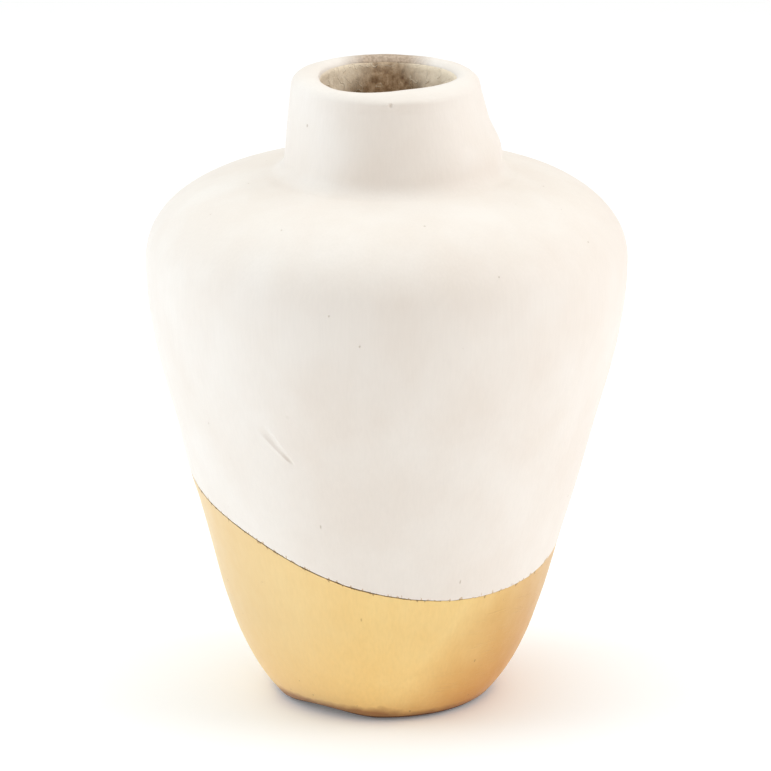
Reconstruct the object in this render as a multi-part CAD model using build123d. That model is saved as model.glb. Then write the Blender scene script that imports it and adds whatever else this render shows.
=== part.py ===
from build123d import *
import math
import os

# A hand-carved wooden vase: a broad-shouldered body with a short neck and a bored
# well, painted matt white above a slanted line and gold below it.
# Millimetres, +Z up. The origin is the middle of the foot, on the surface it stands on.

# Overall form, measured on the painted surface
height = 152.0
belly_radius = 57.0
foot_radius = 25.0
foot_round = 2.0

# Shoulder: a dome that is flatter than a circle
dome_rise = 23.7
dome_power = 2.4
dome_steps = 9

# Neck: a cone whose root sits a little to one side of its lip
neck_height = 21.3
neck_root_radius = 25.7
neck_root_shift = 1.3
neck_blend = 4.5
lip_radius = 22.3
lip_round = 2.9

# Well bored down from the mouth
well_radius = 16.0
well_floor = 25.0
well_corner = 6.0

# Paint: its thickness, how far short of the well it stops on the inner side of the lip,
# its height above the floor, and the bare line left between the two paints
paint = 0.35
bare_lip = 0.9
paint_above_floor = 0.9
bare_line = 0.3

# Slanted line between the two paints: its height on the axis, how steeply it tilts
# from the level, and the direction it climbs in, turned from +X about +Z
line_height = 49.7
line_tilt = 21.0
line_heading = 124.0

# Shallow hollow under the front of the foot, left by the carver: the roller that
# cuts it, how deep it is at the foot's edge and how far in from there it reaches
scoop_radius = 32.0
scoop_depth = 1.6
scoop_reach = 9.0
scoop_heading = 237.0

# The side, as shares of its spread and of its rise, and its slope where it leaves the foot
side_shape = ((0.28, 0.14), (0.58, 0.42), (0.78, 0.64), (0.94, 0.83))
side_start = (0.9, 1.0)
upright = (0.0, 1.0)
inwards = (-1.0, 0.0)

shoulder_height = height - neck_height
belly_height = shoulder_height - dome_rise
well_depth = height - well_floor
lip_wall = lip_radius - well_radius
lip_fillet = min(lip_round, 0.46 * lip_wall)
neck_taper = (neck_root_radius - lip_radius) / neck_height
neck_lean = neck_root_shift / neck_height
cutter_size = 4.0 * max(height, belly_radius)
standing = (Align.CENTER, Align.CENTER, Align.MIN)


def side_points(foot, belly):
    """Points up the side, from the foot's edge to the widest place."""
    spread = belly - foot
    between = [(foot + spread * out, belly_height * up) for out, up in side_shape]
    return [(foot, 0.0)] + between + [(belly, belly_height)]


def dome_points(belly, rise):
    """Points over the shoulder, from the widest place in to the axis."""
    points = []
    for step in range(dome_steps):
        angle = math.radians(90.0 * step / dome_steps)
        out = math.cos(angle) ** (2.0 / dome_power)
        up = math.sin(angle) ** (2.0 / dome_power)
        points.append((belly * out, belly_height + rise * up))
    return points + [(0.0, belly_height + rise)]


def turned_body(inset):
    """Foot, side and shoulder, drawn in from the painted surface by inset."""
    foot = foot_radius - inset
    belly = belly_radius - inset
    rise = dome_rise - inset
    sole = Line((0.0, 0.0), (foot, 0.0))
    side = Spline(*side_points(foot, belly), tangents=[side_start, upright])
    dome = Spline(*dome_points(belly, rise), tangents=[upright, inwards])
    axis = Line((0.0, belly_height + rise), (0.0, 0.0))
    outline = Plane.XZ * make_face([sole, side, dome, axis])
    body = revolve(outline, Axis.Z)
    return fillet(body.edges().group_by(Axis.Z)[0], foot_round)


def neck_cone(inset, sunk):
    """The neck, from a depth of sunk inside the shoulder up to the lip."""
    root_radius = neck_root_radius + neck_taper * sunk - inset
    root_shift = neck_root_shift + neck_lean * sunk
    root = Pos(root_shift, 0.0, shoulder_height - sunk) * Circle(root_radius)
    lip = Pos(0.0, 0.0, height - inset) * Circle(lip_radius - inset)
    return loft([root, lip])


def carved_form(inset):
    """The outside of the vase, solid, drawn in from the painted surface by inset."""
    sunk = 0.5 * dome_rise
    form = turned_body(inset) + neck_cone(inset, sunk)
    below_lip = 0.5 * (shoulder_height + height)
    junction = form.edges().filter_by_position(Axis.Z, shoulder_height - sunk, below_lip)
    return fillet(junction, neck_blend + inset)


def well():
    """The bore, open at the mouth, with a rounded floor."""
    bore = Pos(0.0, 0.0, well_floor) * Cylinder(well_radius, well_depth, align=standing)
    return fillet(bore.edges().group_by(Axis.Z)[0], well_corner)


def rounded_lip(form, radius):
    """Rounds the outer and inner edges of the lip."""
    return fillet(form.edges().group_by(Axis.Z)[-1], radius)


def foot_scoop():
    """The cutter for the hollow under the foot: a roller that rises towards the edge."""
    tilt = math.degrees(math.atan2(scoop_depth, scoop_reach))
    length = 3.0 * scoop_reach
    roller = Cylinder(scoop_radius, length, rotation=(0.0, 90.0, 0.0))
    roller = Pos(0.5 * length, 0.0, -scoop_radius) * roller
    roller = Pos(foot_radius - scoop_reach, 0.0, 0.0) * Rot(0.0, -tilt, 0.0) * roller
    return Rot(0.0, 0.0, scoop_heading) * roller


def paint_line_plane(offset):
    """The slanted plane between the paints, moved along its normal by offset."""
    turned = Location((0.0, 0.0, line_height), (0.0, 0.0, line_heading))
    tilted = turned * Location((0.0, 0.0, 0.0), (0.0, -line_tilt, 0.0))
    return Plane(tilted).offset(offset)


def make_wooden_body():
    """The bare wood, with the well and the rounded lip."""
    return rounded_lip(carved_form(paint) - well(), lip_fillet - paint) - foot_scoop()


def make_paint_skin(wood):
    """Both paints in one: the painted outside less the wood, clear of well and floor."""
    painted = rounded_lip(carved_form(0.0) - well(), lip_fillet) - foot_scoop()
    mouth = Cylinder(well_radius + bare_lip, cutter_size, align=standing)
    above_floor = Box(cutter_size, cutter_size, cutter_size, align=standing)
    return (painted - wood - mouth) & (Pos(0.0, 0.0, paint_above_floor) * above_floor)


def make_white_paint(skin):
    return split(skin, bisect_by=paint_line_plane(0.5 * bare_line), keep=Keep.TOP)


def make_gold_paint(skin):
    return split(skin, bisect_by=paint_line_plane(-0.5 * bare_line), keep=Keep.BOTTOM)


os.makedirs("parts", exist_ok=True)

wooden_body = make_wooden_body()
paint_skin = make_paint_skin(wooden_body)

export_step(wooden_body, "parts/wooden_body.step")
export_step(make_white_paint(paint_skin), "parts/white_paint.step")
export_step(make_gold_paint(paint_skin), "parts/gold_paint.step")
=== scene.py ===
import math

import bpy
import numpy as np
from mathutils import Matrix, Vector, noise


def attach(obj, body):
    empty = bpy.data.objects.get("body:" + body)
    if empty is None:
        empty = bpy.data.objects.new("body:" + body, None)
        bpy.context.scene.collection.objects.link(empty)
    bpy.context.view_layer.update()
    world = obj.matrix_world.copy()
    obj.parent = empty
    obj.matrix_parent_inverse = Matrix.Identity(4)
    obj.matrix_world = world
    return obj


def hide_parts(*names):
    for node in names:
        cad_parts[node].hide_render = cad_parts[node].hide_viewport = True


# A hand-carved wooden vase: bare wood, a white paint film above a slanted line and a
# gold one below it. Metres, +Z up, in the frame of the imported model.

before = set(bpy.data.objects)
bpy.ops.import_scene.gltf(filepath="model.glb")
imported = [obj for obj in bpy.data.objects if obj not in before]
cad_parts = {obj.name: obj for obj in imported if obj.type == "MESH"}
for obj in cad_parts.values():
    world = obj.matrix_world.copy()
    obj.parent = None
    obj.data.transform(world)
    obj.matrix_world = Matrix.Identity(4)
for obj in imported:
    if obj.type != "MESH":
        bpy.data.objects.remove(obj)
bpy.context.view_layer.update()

MM = 0.001

# ---------------------------------------------------------------- shape of the vase
HEIGHT = 152.0 * MM
BELLY_RADIUS = 57.0 * MM
FOOT_RADIUS = 25.0 * MM
FOOT_ROUND = 2.0 * MM
FOOT_SLOPE = 0.9
DOME_RISE = 23.7 * MM
DOME_POWER = 2.4
NECK_HEIGHT = 21.3 * MM
NECK_ROOT = 25.7 * MM
NECK_SHIFT = 1.3 * MM
NECK_BLEND = 4.5 * MM
LIP_RADIUS = 22.3 * MM
LIP_ROUND = 2.9 * MM
WELL_RADIUS = 16.0 * MM
WELL_FLOOR = 25.0 * MM
WELL_CORNER = 6.0 * MM
# how far the side has spread and risen, as shares of the way from the foot to the belly
SIDE_SHAPE = ((0.0, 0.0), (0.28, 0.14), (0.58, 0.42), (0.78, 0.64), (0.94, 0.83), (1.0, 1.0))

SHOULDER = HEIGHT - NECK_HEIGHT
BELLY_HEIGHT = SHOULDER - DOME_RISE

# the paint: the space CAD gives it, the film modelled in it, and where it stops
PAINT = 0.35 * MM
FILM = 0.3 * MM
FEATHERED_FILM = 0.04 * MM
BARE_LIP = 0.9 * MM
PAINT_ABOVE_FLOOR = 0.9 * MM
BARE_LINE = 0.3 * MM

# the slanted line between the paints
LINE_HEIGHT = 49.7 * MM
LINE_TILT = math.radians(21.0)
LINE_HEADING = math.radians(124.0)

# how finely the pieces are turned: steps round, and rows up the films, the wood and its well
SPIN_STEPS = 240
ROW = 1.15 * MM
SOLE_ROW = 2.0 * MM
WOOD_ROW = 1.5 * MM
WELL_ROW = 0.9 * MM
LIP_ROW_SHARE = 0.4

LINE_POINT = Vector((0.0, 0.0, LINE_HEIGHT))
LINE_NORMAL = Vector((
    -math.sin(LINE_TILT) * math.cos(LINE_HEADING),
    -math.sin(LINE_TILT) * math.sin(LINE_HEADING),
    math.cos(LINE_TILT),
))


# ---------------------------------------------------------------- outlines, as (radius, height)
def hermite(knots, start_slope, end_slope, steps):
    """A smooth curve of height against radius through the knots, evenly spaced in height."""
    out = np.array([k[0] for k in knots])
    up = np.array([k[1] for k in knots])
    slopes = np.gradient(out, up)
    slopes[0] = start_slope
    slopes[-1] = end_slope
    points = []
    for height in np.linspace(up[0], up[-1], steps):
        i = min(int(np.searchsorted(up, height, side="right")) - 1, len(up) - 2)
        span = up[i + 1] - up[i]
        t = (height - up[i]) / span
        radius = ((2 * t**3 - 3 * t**2 + 1) * out[i] + (t**3 - 2 * t**2 + t) * span * slopes[i]
                  + (3 * t**2 - 2 * t**3) * out[i + 1] + (t**3 - t**2) * span * slopes[i + 1])
        points.append((float(radius), float(height)))
    return points


def arc(centre, radius, start, end, steps=24):
    """Points round an arc in the outline's plane, angles in degrees from outwards to up."""
    angles = np.radians(np.linspace(start, end, steps))
    return [(centre[0] + radius * math.cos(a), centre[1] + radius * math.sin(a)) for a in angles]


def dome_height(radius, inset):
    """Height of the shoulder at a radius."""
    share = min(max(radius / (BELLY_RADIUS - inset), 0.0), 1.0)
    return BELLY_HEIGHT + (DOME_RISE - inset) * (1.0 - share**DOME_POWER) ** (1.0 / DOME_POWER)


def neck_radius(height, inset):
    taper = (NECK_ROOT - LIP_RADIUS) / NECK_HEIGHT
    return LIP_RADIUS + taper * (HEIGHT - height) - inset


def side_outline(inset):
    """Up from the foot to the widest place."""
    spread = BELLY_RADIUS - FOOT_RADIUS
    knots = [(FOOT_RADIUS - inset + spread * out, BELLY_HEIGHT * up) for out, up in SIDE_SHAPE]
    points = hermite(knots, FOOT_SLOPE, 0.0, 400)
    # a fillet between the flat sole and the leaning side
    lean = math.atan(FOOT_SLOPE)
    back = FOOT_ROUND * math.tan(0.5 * (0.5 * math.pi - lean))
    centre = (FOOT_RADIUS - inset - back, FOOT_ROUND)
    rounded = arc(centre, FOOT_ROUND, -90.0, -math.degrees(lean), 8)
    return rounded + [p for p in points if p[1] > rounded[-1][1] + 0.4 * MM]


def shoulder_outline(inset):
    """Over the dome and up into the neck, with the blend between them."""
    belly = BELLY_RADIUS - inset
    blend = NECK_BLEND + inset
    points = []
    for angle in np.linspace(0.0, math.pi / 2.0, 600)[1:]:
        radius = belly * math.cos(angle) ** (2.0 / DOME_POWER) if angle < math.pi / 2.0 else 0.0
        points.append((radius, dome_height(radius, inset)))
    start = next(r for r, z in points if r < neck_radius(z, inset) + blend)
    base = dome_height(start, inset)
    centre_height = base + blend
    centre = (neck_radius(centre_height, inset) + blend, centre_height)
    blended = arc(centre, blend, -97.0, -176.0)
    return [p for p in points if p[0] > blended[0][0] + 0.6 * MM] + blended


def lip_outline(inset, feather=0.0):
    """Up the neck, over the lip and down to the well's wall, thinning by feather on the way in."""
    shape = LIP_ROUND - inset
    top = HEIGHT - inset
    outer = (LIP_RADIUS - inset - shape, top - shape)
    inner = (WELL_RADIUS + inset + shape, top - shape)
    inwards = []
    for angle in np.radians(np.linspace(90.0, 180.0, 40)):
        thinned = shape - feather * min((angle - 0.5 * math.pi) / math.radians(40.0), 1.0)
        inwards.append((inner[0] + thinned * math.cos(angle), inner[1] + thinned * math.sin(angle)))
    return arc(outer, shape, 8.0, 90.0) + inwards


def resample(points, step):
    """The outline again, with its points a steady step apart."""
    path = np.array(points)
    lengths = np.concatenate([[0.0], np.cumsum(np.linalg.norm(np.diff(path, axis=0), axis=1))])
    count = max(int(round(lengths[-1] / step)), 2)
    wanted = np.linspace(0.0, lengths[-1], count + 1)
    out = np.interp(wanted, lengths, path[:, 0])
    up = np.interp(wanted, lengths, path[:, 1])
    return list(zip(out.tolist(), up.tolist()))


def outside_outline(inset, step, feather=0.0):
    lip = lip_outline(inset, feather)
    body = resample(side_outline(inset) + shoulder_outline(inset) + lip[:1], step)
    return body[:-1] + resample(lip, LIP_ROW_SHARE * step)


# ---------------------------------------------------------------- carving marks and unevenness
# Lengths in metres unless a comment says mm, angles in degrees round the vase.
SWELLS = ((0.28 * MM, 24.0, 3.1), (0.12 * MM, 70.0, 8.4))  # depth, scale and seed of each
SWELL_FADE = 12.0 * MM

CROWN_AT, CROWN_REACH = 46.0 * MM, 15.0 * MM  # the fuller ring of the shoulder
CROWN_BELOW, CROWN_TALL = 6.0 * MM, 22.0 * MM
CROWN_LIFT, CROWN_LIFT_RIGHT = 0.38, 0.1  # mm
LOW_SIDE, LOW_SIDE_AT, LOW_SIDE_TALL = 0.6 * MM, 11.0 * MM, 12.0 * MM
FLARE, FLARE_ABOVE, FLARE_TALL, FLARE_ROUND = 1.0 * MM, 4.5 * MM, 6.0 * MM, 80.0
FLARE_OUT, FLARE_FADE = 33.0 * MM, 5.0 * MM

# patches of the lip: angle, reach round, and mm moved outwards and up
LIP_PATCHES = ((-55.0, 68.0, -1.5, 0.45), (-112.0, 36.0, 0.5, -0.2), (176.0, 62.0, -1.9, 0.15))
LIP_CREST, LIP_CREST_REACH = 17.6 * MM, 3.2 * MM
CRISP_AT, CRISP_TALL = 149.9 * MM, 1.7 * MM
CRISP_ANGLE, CRISP_ROUND = -74.0, 72.0
CRISP_OUT, CRISP_UP = 0.55 * MM, 0.1 * MM
LIP_WAVER, LIP_WAVER_SCALE, LIP_WAVER_SEED = 0.12 * MM, 190.0, 5.5

NECK_OUT, NECK_FADE = 36.0 * MM, 8.0 * MM
NECK_TOP_SHIFT = 0.35 * MM
FOOT_SHIFT = 0.8 * MM

TOE, TOE_ANGLE, TOE_ROUND = 0.7 * MM, -88.0, 62.0
SOLE_EDGE, SOLE_EDGE_REACH, SOLE_EDGE_TALL = 26.0 * MM, 9.0 * MM, 9.0 * MM
HOLLOW, HOLLOW_ANGLE, HOLLOW_ROUND = 1.5 * MM, -124.0, 32.0


def bump_about(values, centre, width):
    """1 at the centre, falling smoothly to 0 a width away."""
    x = np.clip(np.abs(values - centre) / width, 0.0, 1.0)
    return (1.0 - x * x) ** 2


def angle_gap(angle, centre):
    """How far each angle is from the centre, in degrees, the short way round."""
    return (angle - centre + 180.0) % 360.0 - 180.0


def facing(angle, centre, reach):
    """1 where the surface faces an angle, falling smoothly to 0 a reach round from it."""
    return bump_about(angle_gap(angle, centre), 0.0, reach)


def fade(values):
    """The values kept between 0 and 1."""
    return np.clip(values, 0.0, 1.0)


def soft_noise(points, scale, seed):
    offset = Vector((seed, 0.7 * seed, -1.3 * seed))
    return np.array([noise.noise(Vector(p) * scale + offset) for p in points])


def lip_moves(points, radius, angle, outside):
    """How far the lip is moved outwards and up at each point: thick and high at the front
    right, low at the front left, with a crisp outer edge in front."""
    z = points[:, 2]
    near_lip = fade((z - (HEIGHT - 5.0 * MM)) / (3.0 * MM))
    crest = fade(1.0 - np.abs(radius - LIP_CREST) / LIP_CREST_REACH)
    patches = [(facing(angle, at, reach), out, up) for at, reach, out, up in LIP_PATCHES]
    shift = near_lip * crest * MM * sum(out * patch for patch, out, _ in patches)
    rise = near_lip * crest * MM * sum(up * patch for patch, _, up in patches)
    crisp = outside * bump_about(z, CRISP_AT, CRISP_TALL) * facing(angle, CRISP_ANGLE, CRISP_ROUND)
    uneven = near_lip * LIP_WAVER * soft_noise(points, LIP_WAVER_SCALE, LIP_WAVER_SEED)
    return shift + (CRISP_OUT * crisp + 0.3 * uneven), rise + (CRISP_UP * crisp + uneven)


def body_moves(points, radius, angle, outside):
    """How far the side and the neck's root swell outwards, and the shoulder upwards."""
    z = points[:, 2]
    belly = outside * fade((SHOULDER + 2.0 * MM - z) / (6.0 * MM))
    swell = sum(depth * soft_noise(points, scale, seed) for depth, scale, seed in SWELLS)
    grow = belly * swell * fade(z / SWELL_FADE)
    grow += LOW_SIDE * belly * bump_about(z, LOW_SIDE_AT, LOW_SIDE_TALL)
    flare = bump_about(z, SHOULDER + FLARE_ABOVE, FLARE_TALL)
    flare = flare * fade((FLARE_OUT - radius) / FLARE_FADE)
    grow += FLARE * outside * flare * facing(angle, 0.0, FLARE_ROUND)
    crown = bump_about(radius, CROWN_AT, CROWN_REACH)
    crown = crown * bump_about(z, SHOULDER - CROWN_BELOW, CROWN_TALL)
    lift = MM * belly * crown * (CROWN_LIFT + CROWN_LIFT_RIGHT * np.cos(np.radians(angle)))
    return grow, lift


def carve(points):
    """Moves a true, round vase's points to where the carver's hand left them."""
    x, y, z = points[:, 0].copy(), points[:, 1].copy(), points[:, 2].copy()
    height = points[:, 2]
    radius = np.hypot(x, y)
    angle = np.degrees(np.arctan2(y, x))
    outside = fade((radius - 0.5 * (WELL_RADIUS + LIP_RADIUS)) / (2.0 * MM))

    grow, lift = body_moves(points, radius, angle, outside)
    shift, rise = lip_moves(points, radius, angle, outside)
    unit_x = x / np.maximum(radius, 1e-9)
    unit_y = y / np.maximum(radius, 1e-9)
    x += unit_x * (grow + shift)
    y += unit_y * (grow + shift)
    z += rise + lift

    # the neck's root sits to the right and its top to the left, and the foot a little left
    narrow = fade((NECK_OUT - radius) / NECK_FADE) * (height > BELLY_HEIGHT)
    x += NECK_SHIFT * (outside * bump_about(height, SHOULDER, NECK_HEIGHT) * narrow)
    x -= NECK_TOP_SHIFT * narrow * fade((height - SHOULDER) / (8.0 * MM))
    up = fade(height / HEIGHT)
    x -= FOOT_SHIFT * (1.0 - up) ** 2 * fade(1.4 - up)

    # the foot is fuller in front, with a hollow under its left
    low = fade((SOLE_EDGE_TALL - height) / SOLE_EDGE_TALL)
    sole_edge = bump_about(radius, SOLE_EDGE, SOLE_EDGE_REACH)
    toe = TOE * sole_edge * low * facing(angle, TOE_ANGLE, TOE_ROUND)
    x += unit_x * toe
    y += unit_y * toe
    z += HOLLOW * facing(angle, HOLLOW_ANGLE, HOLLOW_ROUND) * sole_edge * low**1.5
    return np.column_stack([x, y, z])


# The gouge in the front left of the side: a bowl where the tool went in, a narrowing valley
# and a crease where it came out, with a low burr beside it
GOUGE_START = Vector((-28.2, -44.0, 78.2)) * MM
GOUGE_END = Vector((-22.0, -45.6, 70.6)) * MM
GOUGE_WIDE, GOUGE_NARROWS = 1.55, 1.1  # mm
GOUGE_DEPTHS = ((0.42, 0.2, 0.34), (0.26, 0.55, 0.4), (0.34, 0.88, 0.22))  # mm, place, reach
GOUGE_BURR = 0.12 * MM
GOUGE_NEAR = 6.0 * MM
# Each pin prick: its place, radius and depth
PIN_PRICKS = (
    (Vector((-22.7, -48.7, 82.8)) * MM, 0.45 * MM, 0.35 * MM),
    (Vector((0.9, -22.8, 149.9)) * MM, 0.6 * MM, 0.5 * MM),
)


def dot_rows(first, second):
    return np.einsum("ij,ij->i", first, second)


def mark(points):
    """Presses the gouge and the pin pricks into an outer surface."""
    moved = points.copy()
    inward = -points * np.array([1.0, 1.0, 0.0])
    inward /= np.maximum(np.linalg.norm(inward, axis=1), 1e-9)[:, None]
    start = np.array(GOUGE_START)
    along = np.array(GOUGE_END) - start
    length = np.linalg.norm(along)
    along /= length
    offset = points - start
    place_along = offset @ along / length
    side_way = np.cross(along, inward)
    side_way /= np.maximum(np.linalg.norm(side_way, axis=1), 1e-9)[:, None]
    across = dot_rows(offset, side_way)
    near = (np.abs(dot_rows(offset, inward)) < GOUGE_NEAR).astype(float)
    width = MM * (GOUGE_WIDE - GOUGE_NARROWS * fade(place_along))
    depth = MM * sum(deep * bump_about(place_along, at, reach) for deep, at, reach in GOUGE_DEPTHS)
    cut = depth * fade(1.0 - (across / width) ** 2)
    burr = GOUGE_BURR * bump_about(place_along, 0.6, 0.6)
    burr = burr * bump_about(across, -1.1 * width, 0.8 * width)
    moved += inward * (near * (cut - burr))[:, None]
    for place, radius, depth in PIN_PRICKS:
        away = np.linalg.norm(points - np.array(place), axis=1)
        moved += inward * (depth * fade(1.0 - (away / radius) ** 2))[:, None]
    return moved


# ---------------------------------------------------------------- making meshes by hand
def deselect_all():
    if bpy.context.object and bpy.context.object.mode != "OBJECT":
        bpy.ops.object.mode_set(mode="OBJECT")
    bpy.ops.object.select_all(action="DESELECT")


def make_active(piece):
    deselect_all()
    piece.select_set(True)
    bpy.context.view_layer.objects.active = piece


def coordinates(piece):
    flat = np.empty(len(piece.data.vertices) * 3)
    piece.data.vertices.foreach_get("co", flat)
    return flat.reshape(-1, 3)


def set_coordinates(piece, points):
    piece.data.vertices.foreach_set("co", np.ascontiguousarray(points, dtype=np.float64).ravel())
    piece.data.update()


def turn_outline(name, outline):
    """Extrudes a point along an outline and spins it round the axis, as on a lathe."""
    deselect_all()
    bpy.ops.mesh.primitive_plane_add(size=MM)
    piece = bpy.context.object
    piece.name = name
    piece.data.name = name
    bpy.ops.object.mode_set(mode="EDIT")
    bpy.ops.mesh.select_mode(type="VERT")
    bpy.ops.mesh.select_all(action="SELECT")
    bpy.ops.mesh.merge(type="CENTER")
    bpy.ops.transform.translate(value=(outline[0][0], 0.0, outline[0][1]))
    for before, after in zip(outline, outline[1:]):
        step = (after[0] - before[0], 0.0, after[1] - before[1])
        bpy.ops.mesh.extrude_region_move(TRANSFORM_OT_translate={"value": step})
    bpy.ops.mesh.select_all(action="SELECT")
    bpy.ops.mesh.spin(
        steps=SPIN_STEPS, angle=2.0 * math.pi, center=(0.0, 0.0, 0.0), axis=(0.0, 0.0, 1.0)
    )
    bpy.ops.mesh.select_all(action="SELECT")
    bpy.ops.mesh.remove_doubles(threshold=0.01 * MM)
    bpy.ops.mesh.normals_make_consistent(inside=False)
    bpy.ops.object.mode_set(mode="OBJECT")
    return piece


def select_faces(piece, wanted):
    """Selects the faces whose middle the test wants, in edit mode."""
    make_active(piece)
    bpy.ops.object.mode_set(mode="EDIT")
    bpy.ops.mesh.select_mode(type="FACE")
    bpy.ops.mesh.select_all(action="DESELECT")
    bpy.ops.object.mode_set(mode="OBJECT")
    centres = np.empty(len(piece.data.polygons) * 3)
    piece.data.polygons.foreach_get("center", centres)
    piece.data.polygons.foreach_set("select", wanted(centres.reshape(-1, 3)))
    bpy.ops.object.mode_set(mode="EDIT")


def refine(piece, centre, reach, cuts):
    """Divides the faces round a place, so that a small mark has enough of them."""
    middle = np.array(centre)
    select_faces(piece, lambda c: np.linalg.norm(c - middle, axis=1) < reach)
    bpy.ops.mesh.subdivide(number_cuts=cuts, quadcorner="INNERVERT")
    bpy.ops.object.mode_set(mode="OBJECT")


def refine_marks(piece):
    refine(piece, 0.5 * (GOUGE_START + GOUGE_END), 7.5 * MM, 4)
    for place, radius, _ in PIN_PRICKS:
        refine(piece, place, 3.0 * radius + 0.5 * MM, 4)


def cut_at_line(piece, offset, keep_above):
    """Cuts the piece at the slanted line, moved along its normal by offset."""
    make_active(piece)
    bpy.ops.object.mode_set(mode="EDIT")
    bpy.ops.mesh.select_all(action="SELECT")
    bpy.ops.mesh.bisect(
        plane_co=LINE_POINT + LINE_NORMAL * offset,
        plane_no=LINE_NORMAL,
        clear_inner=keep_above,
        clear_outer=not keep_above,
    )
    bpy.ops.object.mode_set(mode="OBJECT")


def line_distance(points):
    return (points - np.array(LINE_POINT)) @ np.array(LINE_NORMAL)


# How far the painted line strays above the true slanted plane, in mm, at angles round the vase
LINE_STRAY = (
    (-180.0, -1.7), (-166.0, -1.3), (-151.0, 0.4), (-136.0, 1.5), (-124.0, 0.9),
    (-110.0, 0.2), (-90.0, -0.1), (-60.0, -0.3), (-20.0, 0.0), (40.0, 0.5),
    (90.0, 0.3), (130.0, -0.7), (160.0, -1.5), (180.0, -1.7),
)
LINE_WAVERS = ((0.10, 260.0, 2.0), (0.06, 700.0, 6.0))  # mm, scale and seed of each
STRAY_REACH = 8.0 * MM
GAP_CLOSING, GAP_CLOSING_FROM, GAP_CLOSING_OVER = 0.12 * MM, -98.0, 45.0
GAP_REACH = 1.6 * MM


def line_stray(points):
    """The line's stray at each point, in metres, with a painter's small waver on top."""
    angle = np.degrees(np.arctan2(points[:, 1], points[:, 0]))
    angles, strays = zip(*LINE_STRAY)
    turned = [np.interp(angle_gap(angle + turn, 0.0), angles, strays) for turn in range(-12, 13, 3)]
    waver = sum(size * soft_noise(points, scale, seed) for size, scale, seed in LINE_WAVERS)
    return MM * (np.mean(turned, axis=0) + waver)


def store_line_height(piece, stray):
    """Keeps each point's height above the painted line on the mesh, for the materials."""
    above = piece.data.attributes.new("above_line", "FLOAT", "POINT")
    above.data.foreach_set("value", line_distance(coordinates(piece)) - stray)


def wander_line(piece, offset, direction):
    """Lets the cut edge wander as a masked line does, and closes the bare gap at the right."""
    points = coordinates(piece)
    distance = line_distance(points)
    stray = line_stray(points)
    store_line_height(piece, 0.0)
    angle = np.degrees(np.arctan2(points[:, 1], points[:, 0]))
    closing = GAP_CLOSING * fade(angle_gap(angle, GAP_CLOSING_FROM) / GAP_CLOSING_OVER)
    move = bump_about(distance, offset, STRAY_REACH) * stray
    move -= direction * bump_about(distance, offset, GAP_REACH) * closing
    # the edge slides up and down the surface, not off it
    slope = np.array(LINE_NORMAL)
    radial = points * np.array([1.0, 1.0, 0.0])
    radial /= np.maximum(np.linalg.norm(radial, axis=1), 1e-9)[:, None]
    slide = slope - radial * (radial @ slope)[:, None] * 0.9
    set_coordinates(piece, points + slide * move[:, None])


def thicken(piece, thickness):
    make_active(piece)
    solid = piece.modifiers.new("film", "SOLIDIFY")
    solid.thickness = thickness
    solid.offset = -1.0
    solid.use_even_offset = True
    bpy.ops.object.modifier_apply(modifier=solid.name)


def smooth(piece, angle=40.0):
    make_active(piece)
    bpy.ops.object.shade_smooth_by_angle(angle=math.radians(angle))


# ---------------------------------------------------------------- materials
WHITE_SHADE, WHITE_LIGHT = (0.835, 0.760, 0.690), (0.865, 0.805, 0.745)
WHITE_PORE = (0.45, 0.33, 0.23)
CREPT_GOLD = (0.52, 0.33, 0.14)
RUBBED_DARK, RUBBED_LIGHT = (0.33, 0.225, 0.145), (0.52, 0.39, 0.275)

GOLD_SHADE, GOLD_LIGHT = (0.83, 0.575, 0.225), (0.865, 0.645, 0.29)
THIN_AND_SHADED_GOLD = (0.62, 0.305, 0.065)
GOLD_SHEEN = (0.79, 0.59, 0.34)
FLOOR_LIGHT_TINT = (1.10, 1.09, 1.06)
FOOT_SHADE_AND_GRIME = (0.34, 0.12, 0.038)
GOLD_PORE = (0.34, 0.18, 0.06)
TORN_GOLD = (0.30, 0.16, 0.06)

WOOD_TONES = ((0.30, (0.19, 0.11, 0.06)), (0.48, (0.41, 0.275, 0.165)), (0.70, (0.66, 0.50, 0.34)))
PALE_FIBRE = (0.86, 0.76, 0.60)
DUSTED_AND_LIT_WOOD = (0.95, 0.83, 0.655)
PAINT_DUST = (0.85, 0.78, 0.71)
STAINED_AND_SHADED_WOOD = (0.13, 0.06, 0.028)
FOOT_EDGE_SHADE = (0.13, 0.055, 0.025)

# the Mix node's sockets for colours
FIRST_COLOUR, SECOND_COLOUR, MIXED_COLOUR = 6, 7, 2


def new_material(name):
    material = bpy.data.materials.new(name)
    material.use_nodes = True
    return material, material.node_tree, material.node_tree.nodes["Principled BSDF"]


def set_or_link(tree, socket, value):
    if isinstance(value, bpy.types.NodeSocket):
        tree.links.new(value, socket)
    elif isinstance(value, tuple):
        socket.default_value = (*value, 1.0)
    else:
        socket.default_value = value


def scaled_coordinates(tree, scale, place=(0.0, 0.0, 0.0), turn=0.0):
    """Object coordinates, turned about Y, moved and scaled."""
    where = tree.nodes.new("ShaderNodeTexCoord")
    mapping = tree.nodes.new("ShaderNodeMapping")
    mapping.inputs["Rotation"].default_value = (0.0, turn, 0.0)
    mapping.inputs["Scale"].default_value = scale
    mapping.inputs["Location"].default_value = place
    tree.links.new(where.outputs["Object"], mapping.inputs["Vector"])
    return mapping.outputs["Vector"]


def object_axes(tree):
    """Object coordinates as three numbers, X, Y and Z, in metres."""
    where = tree.nodes.new("ShaderNodeTexCoord")
    axes = tree.nodes.new("ShaderNodeSeparateXYZ")
    tree.links.new(where.outputs["Object"], axes.inputs["Vector"])
    return axes.outputs["X"], axes.outputs["Y"], axes.outputs["Z"]


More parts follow.
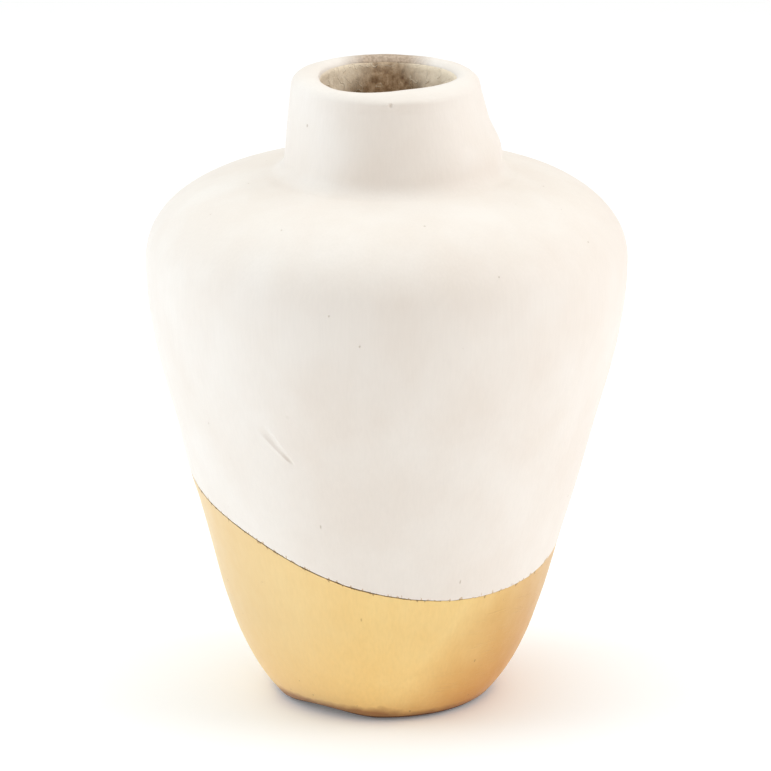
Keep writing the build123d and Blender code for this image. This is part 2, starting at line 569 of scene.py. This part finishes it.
def stretched_noise(tree, scale, detail, place=(0.0, 0.0, 0.0), roughness=0.55, turn=0.0):
    texture = tree.nodes.new("ShaderNodeTexNoise")
    texture.inputs["Scale"].default_value = 1.0
    texture.inputs["Detail"].default_value = detail
    texture.inputs["Roughness"].default_value = roughness
    tree.links.new(scaled_coordinates(tree, scale, place, turn), texture.inputs["Vector"])
    return texture.outputs["Fac"]


def colour_ramp(tree, fac, stops):
    node = tree.nodes.new("ShaderNodeValToRGB")
    elements = node.color_ramp.elements
    elements[0].position, elements[0].color = stops[0][0], (*stops[0][1], 1.0)
    elements[1].position, elements[1].color = stops[-1][0], (*stops[-1][1], 1.0)
    for position, colour in stops[1:-1]:
        element = elements.new(position)
        element.color = (*colour, 1.0)
    tree.links.new(fac, node.inputs["Fac"])
    return node.outputs["Color"]


def grey_ramp(tree, fac, low, high, from_value=0.0, to_value=1.0):
    """A number that goes from one value to another as fac goes from low to high."""
    node = tree.nodes.new("ShaderNodeMapRange")
    node.inputs["From Min"].default_value = low
    node.inputs["From Max"].default_value = high
    node.inputs["To Min"].default_value = from_value
    node.inputs["To Max"].default_value = to_value
    tree.links.new(fac, node.inputs["Value"])
    return node.outputs["Result"]


def mix_colour(tree, fac, first, second, blend="MIX"):
    node = tree.nodes.new("ShaderNodeMix")
    node.data_type = "RGBA"
    node.blend_type = blend
    set_or_link(tree, node.inputs["Factor"], fac)
    set_or_link(tree, node.inputs[FIRST_COLOUR], first)
    set_or_link(tree, node.inputs[SECOND_COLOUR], second)
    return node.outputs[MIXED_COLOUR]


def maths(tree, operation, *values):
    node = tree.nodes.new("ShaderNodeMath")
    node.operation = operation
    for socket, value in zip(node.inputs, values):
        set_or_link(tree, socket, value)
    return node.outputs["Value"]


def product(tree, first, *others):
    for other in others:
        first = maths(tree, "MULTIPLY", first, other)
    return first


def line_height_node(tree):
    """Height above the painted line, in metres, as kept on the mesh."""
    kept = tree.nodes.new("ShaderNodeAttribute")
    kept.attribute_name = "above_line"
    return kept.outputs["Fac"]


def bump(tree, height, distance, strength=1.0, base=None):
    node = tree.nodes.new("ShaderNodeBump")
    node.inputs["Strength"].default_value = strength
    node.inputs["Distance"].default_value = distance
    tree.links.new(height, node.inputs["Height"])
    if base is not None:
        tree.links.new(base, node.inputs["Normal"])
    return node.outputs["Normal"]


def pore_marks(tree, scale, size, share):
    """1 inside small stretched pits, scattered one to some of the cells of a lattice."""
    cells = tree.nodes.new("ShaderNodeTexVoronoi")
    cells.inputs["Scale"].default_value = 1.0
    tree.links.new(scaled_coordinates(tree, scale), cells.inputs["Vector"])
    split = tree.nodes.new("ShaderNodeSeparateColor")
    tree.links.new(cells.outputs["Color"], split.inputs["Color"])
    chosen = maths(tree, "LESS_THAN", split.outputs["Red"], share)
    reach = grey_ramp(tree, split.outputs["Green"], 0.0, 1.0, 0.45 * size, size)
    inside = maths(tree, "SUBTRACT", 1.0, maths(tree, "DIVIDE", cells.outputs["Distance"], reach))
    return product(tree, grey_ramp(tree, inside, 0.0, 0.5), chosen)


def rubbed_lip(tree, mottle):
    """1 where the paint is rubbed through to the wood: inside the lip, at the back."""
    x, y, z = object_axes(tree)
    flat = tree.nodes.new("ShaderNodeCombineXYZ")
    tree.links.new(x, flat.inputs["X"])
    tree.links.new(y, flat.inputs["Y"])
    out = tree.nodes.new("ShaderNodeVectorMath")
    out.operation = "LENGTH"
    tree.links.new(flat.outputs["Vector"], out.inputs[0])
    ragged = maths(tree, "MULTIPLY_ADD", mottle, 2.4 * MM, out.outputs["Value"])
    inner = grey_ramp(tree, ragged, 22.6 * MM, 20.4 * MM)
    at_back = grey_ramp(tree, y, 9.0 * MM, 15.0 * MM)
    at_lip = maths(tree, "GREATER_THAN", z, HEIGHT - 4.0 * MM)
    middle = grey_ramp(tree, maths(tree, "ABSOLUTE", x), 5.0 * MM, 11.5 * MM, 1.0, 0.0)
    return product(tree, inner, at_back, at_lip, middle)


def white_paint_material():
    """Matt white paint, a little warm: smooth but for the wood's pores and soft unevenness."""
    material, tree, shader = new_material("matt_white_paint")
    grain = stretched_noise(tree, (1700.0, 1700.0, 110.0), 2.0)
    cloud = stretched_noise(tree, (50.0, 50.0, 38.0), 3.0)
    mottle = stretched_noise(tree, (260.0, 260.0, 200.0), 3.0)
    pits = pore_marks(tree, (150.0, 150.0, 110.0), 0.05, 0.55)
    ticks = pore_marks(tree, (240.0, 240.0, 60.0), 0.06, 0.35)
    marks = maths(tree, "MAXIMUM", pits, ticks)
    tone = colour_ramp(tree, cloud, ((0.35, WHITE_SHADE), (0.65, WHITE_LIGHT)))
    streak = grey_ramp(tree, grain, 0.3, 0.7, 0.988, 1.01)
    colour = mix_colour(tree, 1.0, tone, streak, "MULTIPLY")
    colour = mix_colour(tree, product(tree, marks, 0.4), colour, WHITE_PORE)

    # a little gold has crept up the grain along the line
    height = line_height_node(tree)
    creep = stretched_noise(tree, (1100.0, 1100.0, 60.0), 3.0)
    reach = grey_ramp(tree, creep, 0.54, 0.82, 0.0, 1.8 * MM)
    crept = maths(tree, "LESS_THAN", height, reach)
    near = grey_ramp(tree, height, 0.2 * MM, 2.2 * MM, 0.7, 0.0)
    colour = mix_colour(tree, product(tree, crept, near), colour, CREPT_GOLD)

    wood = colour_ramp(tree, grain, ((0.35, RUBBED_DARK), (0.65, RUBBED_LIGHT)))
    colour = mix_colour(tree, product(tree, rubbed_lip(tree, mottle), 0.9), colour, wood)
    tree.links.new(colour, shader.inputs["Base Color"])

    tree.links.new(grey_ramp(tree, mottle, 0.3, 0.7, 0.44, 0.58), shader.inputs["Roughness"])
    shader.inputs["Specular IOR Level"].default_value = 0.4
    rough = bump(tree, mottle, 0.16 * MM, 0.5)
    rough = bump(tree, grain, 0.025 * MM, 0.5, rough)
    hollow = maths(tree, "SUBTRACT", 1.0, marks)
    tree.links.new(bump(tree, hollow, 0.2 * MM, 0.8, rough), shader.inputs["Normal"])
    return material


def gold_tone(tree, cloud, mottle, x, y, z, lean_way):
    """The gold's colour: redder where it is thin and with painted shade low on the right, a painted
    sheen at both sides, painted light from the floor towards the foot and painted shade with grime
    at the foot's edge.
    """
    tone = colour_ramp(tree, cloud, ((0.25, GOLD_SHADE), (0.75, GOLD_LIGHT)))
    grain = stretched_noise(tree, (1500.0, 1500.0, 90.0), 3.0)
    streak = grey_ramp(tree, grain, 0.3, 0.7, 0.97, 1.02)
    colour = mix_colour(tree, 1.0, tone, streak, "MULTIPLY")

    # painted shade: the gold is reddened and darkened low on the right, partly thin paint at
    # random, partly shade where less light falls
    uneven = maths(tree, "MULTIPLY_ADD", cloud, 24.0 * MM, lean_way)
    thin_and_shaded = grey_ramp(tree, uneven, 18.0 * MM, -14.0 * MM, 0.0, 0.9)
    colour = mix_colour(tree, thin_and_shaded, colour, THIN_AND_SHADED_GOLD)
    # painted sheen: both sides of the gold are paled, as the softboxes' reflection would
    left = grey_ramp(tree, x, -4.0 * MM, -44.0 * MM, 0.0, 0.8)
    right = grey_ramp(tree, x, 27.0 * MM, 40.0 * MM, 0.0, 0.6)
    colour = mix_colour(tree, maths(tree, "MAXIMUM", left, right), colour, GOLD_SHEEN)
    # painted light: the gold is brightened towards the foot, as light from the floor would
    floor_light = grey_ramp(tree, z, 26.0 * MM, 7.0 * MM)
    colour = mix_colour(tree, floor_light, colour, FLOOR_LIGHT_TINT, "MULTIPLY")

    # painted shade and grime: the dark brown edge follows the foot up over its hollow
    hollow_way = math.radians(HOLLOW_ANGLE)
    over_hollow = maths(tree, "MULTIPLY_ADD", x, math.cos(hollow_way),
                        product(tree, y, math.sin(hollow_way)))
    lift = grey_ramp(tree, over_hollow, 20.0 * MM, 25.0 * MM, 0.0, 1.7 * MM)
    edge = maths(tree, "SUBTRACT", z, lift)
    foot = maths(tree, "MULTIPLY_ADD", mottle, 2.4 * MM, edge)
    foot_shade_and_grime = grey_ramp(tree, foot, 4.1 * MM, 2.1 * MM, 0.0, 0.8)
    return mix_colour(tree, foot_shade_and_grime, colour, FOOT_SHADE_AND_GRIME), grain


def gold_paint_material():
    """Satin gold paint with pores, brush streaks, scratches low on the right and a foot darkened
    with painted shade and grime."""
    material, tree, shader = new_material("satin_gold_paint")
    cloud = stretched_noise(tree, (48.0, 48.0, 34.0), 4.0)
    mottle = stretched_noise(tree, (300.0, 300.0, 220.0), 3.0)
    x, y, z = object_axes(tree)
    lean_way = maths(tree, "MULTIPLY_ADD", x, -1.5, z)
    colour, grain = gold_tone(tree, cloud, mottle, x, y, z, lean_way)

    pits = pore_marks(tree, (190.0, 190.0, 120.0), 0.055, 0.75)
    ticks = pore_marks(tree, (260.0, 260.0, 65.0), 0.07, 0.65)
    marks = maths(tree, "MAXIMUM", pits, ticks)
    colour = mix_colour(tree, product(tree, marks, 0.5), colour, GOLD_PORE)

    # short torn ticks along the upper edge
    torn = stretched_noise(tree, (900.0, 900.0, 120.0), 3.0)
    reach = grey_ramp(tree, torn, 0.52, 0.80, 0.0, -1.5 * MM)
    ticked = maths(tree, "GREATER_THAN", line_height_node(tree), reach)
    colour = mix_colour(tree, product(tree, ticked, 0.6), colour, TORN_GOLD)
    tree.links.new(colour, shader.inputs["Base Color"])

    scratch = stretched_noise(tree, (120.0, 120.0, 2300.0), 2.0, turn=math.radians(14.0))
    scratch = grey_ramp(tree, scratch, 0.58, 0.70, 0.0, 0.75)
    low_right = grey_ramp(tree, lean_way, 4.0 * MM, -14.0 * MM)
    scratch = product(tree, scratch, low_right)

    shader.inputs["Metallic"].default_value = 0.72
    shader.inputs["Coat Weight"].default_value = 0.25
    shader.inputs["Coat Roughness"].default_value = 0.42
    tree.links.new(grey_ramp(tree, mottle, 0.3, 0.7, 0.40, 0.52), shader.inputs["Roughness"])
    rough = bump(tree, mottle, 0.10 * MM, 0.35)
    rough = bump(tree, grain, 0.04 * MM, 0.55, rough)
    cuts = maths(tree, "SUBTRACT", 1.0, maths(tree, "MAXIMUM", marks, scratch))
    tree.links.new(bump(tree, cuts, 0.16 * MM, 0.8, rough), shader.inputs["Normal"])
    return material


def bare_wood_material():
    """Raw tan wood: coarse, fibrous and paint-dusted in the mouth, with painted light on the
    mouth's two sides and painted shade along the line and at the foot's edge.
    """
    material, tree, shader = new_material("raw_bare_wood")
    fibre = stretched_noise(tree, (620.0, 620.0, 460.0), 6.0, roughness=0.68)
    cloud = stretched_noise(tree, (170.0, 170.0, 110.0), 4.0)
    patch = grey_ramp(tree, cloud, 0.3, 0.7, 0.74, 1.15)
    colour = mix_colour(tree, 1.0, colour_ramp(tree, fibre, WOOD_TONES), patch, "MULTIPLY")

    # torn fibres: thin pale curls, where a slow noise crosses its middle value
    curl = stretched_noise(tree, (300.0, 300.0, 260.0), 1.5, place=(3.0, 1.0, 2.0))
    from_middle = maths(tree, "ABSOLUTE", maths(tree, "SUBTRACT", curl, 0.5))
    hair = grey_ramp(tree, from_middle, 0.0, 0.016, 1.0, 0.0)
    colour = mix_colour(tree, product(tree, hair, 0.7), colour, PALE_FIBRE)

    # paler wood near the lip, partly paint dust and partly painted light, reaching deepest at the
    # two sides
    x, y, z = object_axes(tree)
    sideways = maths(tree, "ABSOLUTE", x)
    side_light_reach = grey_ramp(tree, sideways, 2.8 * MM, 13.0 * MM, 0.0, 11.5 * MM)
    height = maths(tree, "MULTIPLY_ADD", fibre, 2.4 * MM, z)
    dust_and_light_height = maths(tree, "ADD", height, side_light_reach)
    pale = grey_ramp(tree, dust_and_light_height, HEIGHT - 3.1 * MM, HEIGHT + 3.9 * MM, 0.0, 0.96)
    pale = product(tree, pale, grey_ramp(tree, sideways, 2.0 * MM, 9.0 * MM, 0.5, 1.0))
    colour = mix_colour(tree, pale, colour, DUSTED_AND_LIT_WOOD)
    dust = grey_ramp(tree, height, HEIGHT - 0.4 * MM, HEIGHT + 0.7 * MM, 0.0, 0.85)
    dust = product(tree, dust, grey_ramp(tree, y, 8.0 * MM, 14.0 * MM, 1.0, 0.0))
    colour = mix_colour(tree, dust, colour, PAINT_DUST)

    # dark wood, stained and with painted shade, shows in the gap between the paints, and the side
    # of the foot is darkened with painted shade
    from_line = maths(tree, "ABSOLUTE", line_height_node(tree))
    near_line = grey_ramp(tree, from_line, 2.5 * MM, 4.0 * MM, 1.0, 0.0)
    colour = mix_colour(tree, near_line, colour, STAINED_AND_SHADED_WOOD)
    # painted shade: the bare side of the foot is darkened where it meets the floor, less on the
    # sole
    foot = grey_ramp(tree, z, 4.0 * MM, 1.2 * MM, 0.0, 0.9)
    side_on = grey_ramp(tree, z, 0.0, 0.15 * MM, 0.25, 1.0)
    colour = mix_colour(tree, product(tree, foot, side_on), colour, FOOT_EDGE_SHADE)
    tree.links.new(colour, shader.inputs["Base Color"])
    shader.inputs["Roughness"].default_value = 0.85
    shader.inputs["Specular IOR Level"].default_value = 0.2
    rough = bump(tree, fibre, 0.5 * MM, 0.8)
    tree.links.new(bump(tree, hair, 0.25 * MM, 0.6, rough), shader.inputs["Normal"])
    return material


# ---------------------------------------------------------------- pieces
def make_skin(name, keep_above):
    """One paint film, cut from the painted outside of the vase."""
    outline = [
        p for p in outside_outline(0.0, ROW, PAINT - FEATHERED_FILM)
        if p[1] > PAINT_ABOVE_FLOOR and not (p[0] < WELL_RADIUS + BARE_LIP and p[1] > BELLY_HEIGHT)
    ]
    line_rise = BELLY_RADIUS * math.tan(LINE_TILT)
    if keep_above:
        # the paint feathers out on the wood, so its last edge turns down into it
        end = outline[-1]
        outline.append((end[0] - 0.05 * MM, end[1] - 0.45 * MM))
        outline = [p for p in outline if p[1] > LINE_HEIGHT - line_rise]
    else:
        outline = [p for p in outline if p[1] < LINE_HEIGHT + line_rise]
    direction = 1.0 if keep_above else -1.0
    offset = direction * 0.5 * BARE_LINE
    piece = turn_outline(name, outline)
    cut_at_line(piece, offset, keep_above)
    set_coordinates(piece, carve(coordinates(piece)))
    wander_line(piece, offset, direction)
    return piece


def make_white_skin():
    piece = make_skin("white_paint_film", True)
    refine_marks(piece)
    set_coordinates(piece, mark(coordinates(piece)))
    thicken(piece, FILM)
    smooth(piece)
    piece.data.materials.append(white_paint_material())
    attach(piece, "root")
    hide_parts("white_paint")
    return piece


def make_gold_skin():
    piece = make_skin("gold_paint_film", False)
    thicken(piece, FILM)
    smooth(piece)
    piece.data.materials.append(gold_paint_material())
    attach(piece, "root")
    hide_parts("gold_paint")
    return piece


# Depth in mm, scale and seed of the tool marks left in the well
WELL_MARKS = ((0.45, 420.0, 4.2), (0.25, 1100.0, 9.1))
WELL_DEEPER = 0.1 * MM
FAR_FROM_LINE = -1.0


def wood_outline():
    """The wood's section: sole, outside, lip, well wall, its corner and its floor."""
    sole = [(0.0, 0.0), (FOOT_RADIUS - FOOT_ROUND - PAINT, 0.0)]
    wall = [(WELL_RADIUS, HEIGHT - LIP_ROUND - 0.2 * MM), (WELL_RADIUS, WELL_FLOOR + WELL_CORNER)]
    corner = arc((WELL_RADIUS - WELL_CORNER, WELL_FLOOR + WELL_CORNER), WELL_CORNER, 0.0, -90.0)
    floor = [(0.0, WELL_FLOOR)]
    outline = (resample(sole, SOLE_ROW) + outside_outline(PAINT, WOOD_ROW)[1:]
               + resample(wall, WELL_ROW)[1:] + resample(corner + floor, WOOD_ROW)[1:])
    return [(max(r, 0.0), z) for r, z in outline]


def inside_well(points, reach):
    radius = np.hypot(points[:, 0], points[:, 1])
    return (radius < WELL_RADIUS + reach) & (points[:, 2] > WELL_FLOOR - MM)


def roughen_well(points):
    """Leaves the well's wall and floor coarse, as the boring tool tore them."""
    radius = np.hypot(points[:, 0], points[:, 1])
    in_well = inside_well(points, 1.2 * MM)
    on_wall = fade((radius - 6.0 * MM) / (7.0 * MM))
    below_lip = fade((HEIGHT - 2.2 * MM - points[:, 2]) / (2.5 * MM))
    stretched = points * np.array([1.0, 1.0, 0.8])
    rough = sum(deep * MM * soft_noise(stretched, scale, seed) for deep, scale, seed in WELL_MARKS)
    outward = points * np.array([1.0, 1.0, 0.0]) / np.maximum(radius, 1e-9)[:, None]
    moved = points + outward * (in_well * on_wall * below_lip * (rough + WELL_DEEPER))[:, None]
    moved[:, 2] += in_well * (1.0 - on_wall) * rough
    return moved


def make_wood():
    """The carved body as one closed shell, with its marks and its rough well."""
    piece = turn_outline("carved_wood_body", wood_outline())
    set_coordinates(piece, roughen_well(carve(coordinates(piece))))
    refine_marks(piece)
    set_coordinates(piece, mark(coordinates(piece)))
    points = coordinates(piece)
    # the dark line between the paints, stain and painted shade, belongs to the outside only
    in_well = inside_well(points, 2.0 * MM)
    store_line_height(piece, np.where(in_well, FAR_FROM_LINE, line_stray(points)))
    smooth(piece, 60.0)
    piece.data.materials.append(bare_wood_material())
    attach(piece, "root")
    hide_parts("wooden_body")
    return piece


# ---------------------------------------------------------------- scene
FLOOR_RADIUS = 1.0
PALE_GREY = (0.96, 0.96, 0.965, 1.0)
FLOOR_GLOW, FLOOR_GLOW_STRENGTH = (0.88, 0.95, 1.0, 1.0), 0.1
WARM_FILL, WARM_FILL_STRENGTH = (1.0, 0.93, 0.86, 1.0), 0.58

MIDDLE = (0.0, 0.0, 0.5 * HEIGHT)
# name, place, what it points at, size in metres, power in watts and colour
SOFTBOXES = (
    ("left_softbox", (-0.85, -0.05, 0.42), MIDDLE, (0.7, 0.9), 4.0, (0.72, 0.87, 1.0)),
    ("right_softbox", (0.85, -0.10, 0.48), MIDDLE, (0.6, 0.8), 3.2, (0.96, 0.97, 1.0)),
    ("top_softbox", (0.0, 0.18, 1.1), (0.0, 0.0, 0.0), (1.7, 1.2), 7.8, (0.86, 0.97, 1.0)),
)

CAMERA_PLACE = (-0.3 * MM, -1.3, 0.4687)
CAMERA_DOWN = 16.83
LENS = 265.5


def make_floor():
    """A round, pale floor with a faint glow of its own, inside the planes of the softboxes."""
    deselect_all()
    bpy.ops.mesh.primitive_circle_add(vertices=96, radius=FLOOR_RADIUS, fill_type="NGON")
    floor = bpy.context.object
    floor.name = "studio_floor"
    material, _, shader = new_material("pale_floor")
    shader.inputs["Base Color"].default_value = PALE_GREY
    shader.inputs["Roughness"].default_value = 0.9
    shader.inputs["Specular IOR Level"].default_value = 0.1
    shader.inputs["Emission Color"].default_value = FLOOR_GLOW
    shader.inputs["Emission Strength"].default_value = FLOOR_GLOW_STRENGTH
    floor.data.materials.append(material)


def area_light(name, place, target, size, power, colour):
    light = bpy.data.lights.new(name, "AREA")
    light.shape = "RECTANGLE"
    light.size, light.size_y = size
    light.energy = power
    light.color = colour
    holder = bpy.data.objects.new(name, light)
    bpy.context.scene.collection.objects.link(holder)
    holder.location = place
    aim = Vector(target) - Vector(place)
    holder.rotation_euler = aim.to_track_quat("-Z", "Y").to_euler()


def make_lights():
    """Three softboxes, and a warm fill that looks like a plain white wall behind the floor."""
    for softbox in SOFTBOXES:
        area_light(*softbox)
    world = bpy.data.worlds.new("studio")
    bpy.context.scene.world = world
    world.use_nodes = True
    tree = world.node_tree
    fill = tree.nodes["Background"]
    fill.inputs["Color"].default_value = WARM_FILL
    fill.inputs["Strength"].default_value = WARM_FILL_STRENGTH
    wall = tree.nodes.new("ShaderNodeBackground")
    wall.inputs["Color"].default_value = PALE_GREY
    path = tree.nodes.new("ShaderNodeLightPath")
    either = tree.nodes.new("ShaderNodeMixShader")
    tree.links.new(path.outputs["Is Camera Ray"], either.inputs["Fac"])
    tree.links.new(fill.outputs["Background"], either.inputs[1])
    tree.links.new(wall.outputs["Background"], either.inputs[2])
    tree.links.new(either.outputs["Shader"], tree.nodes["World Output"].inputs["Surface"])


def make_camera():
    """A long lens, a little above the lip, looking down on the vase from the front."""
    camera = bpy.data.cameras.new("camera")
    camera.lens = LENS
    camera.sensor_width = 36.0
    camera.clip_start = 0.05
    camera.clip_end = 20.0
    holder = bpy.data.objects.new("camera", camera)
    bpy.context.scene.collection.objects.link(holder)
    holder.location = CAMERA_PLACE
    holder.rotation_euler = (math.radians(90.0 - CAMERA_DOWN), 0.0, 0.0)
    bpy.context.scene.camera = holder


bpy.context.scene.view_settings.view_transform = "Standard"
make_camera()
make_lights()
make_floor()
make_wood()
make_white_skin()
make_gold_skin()
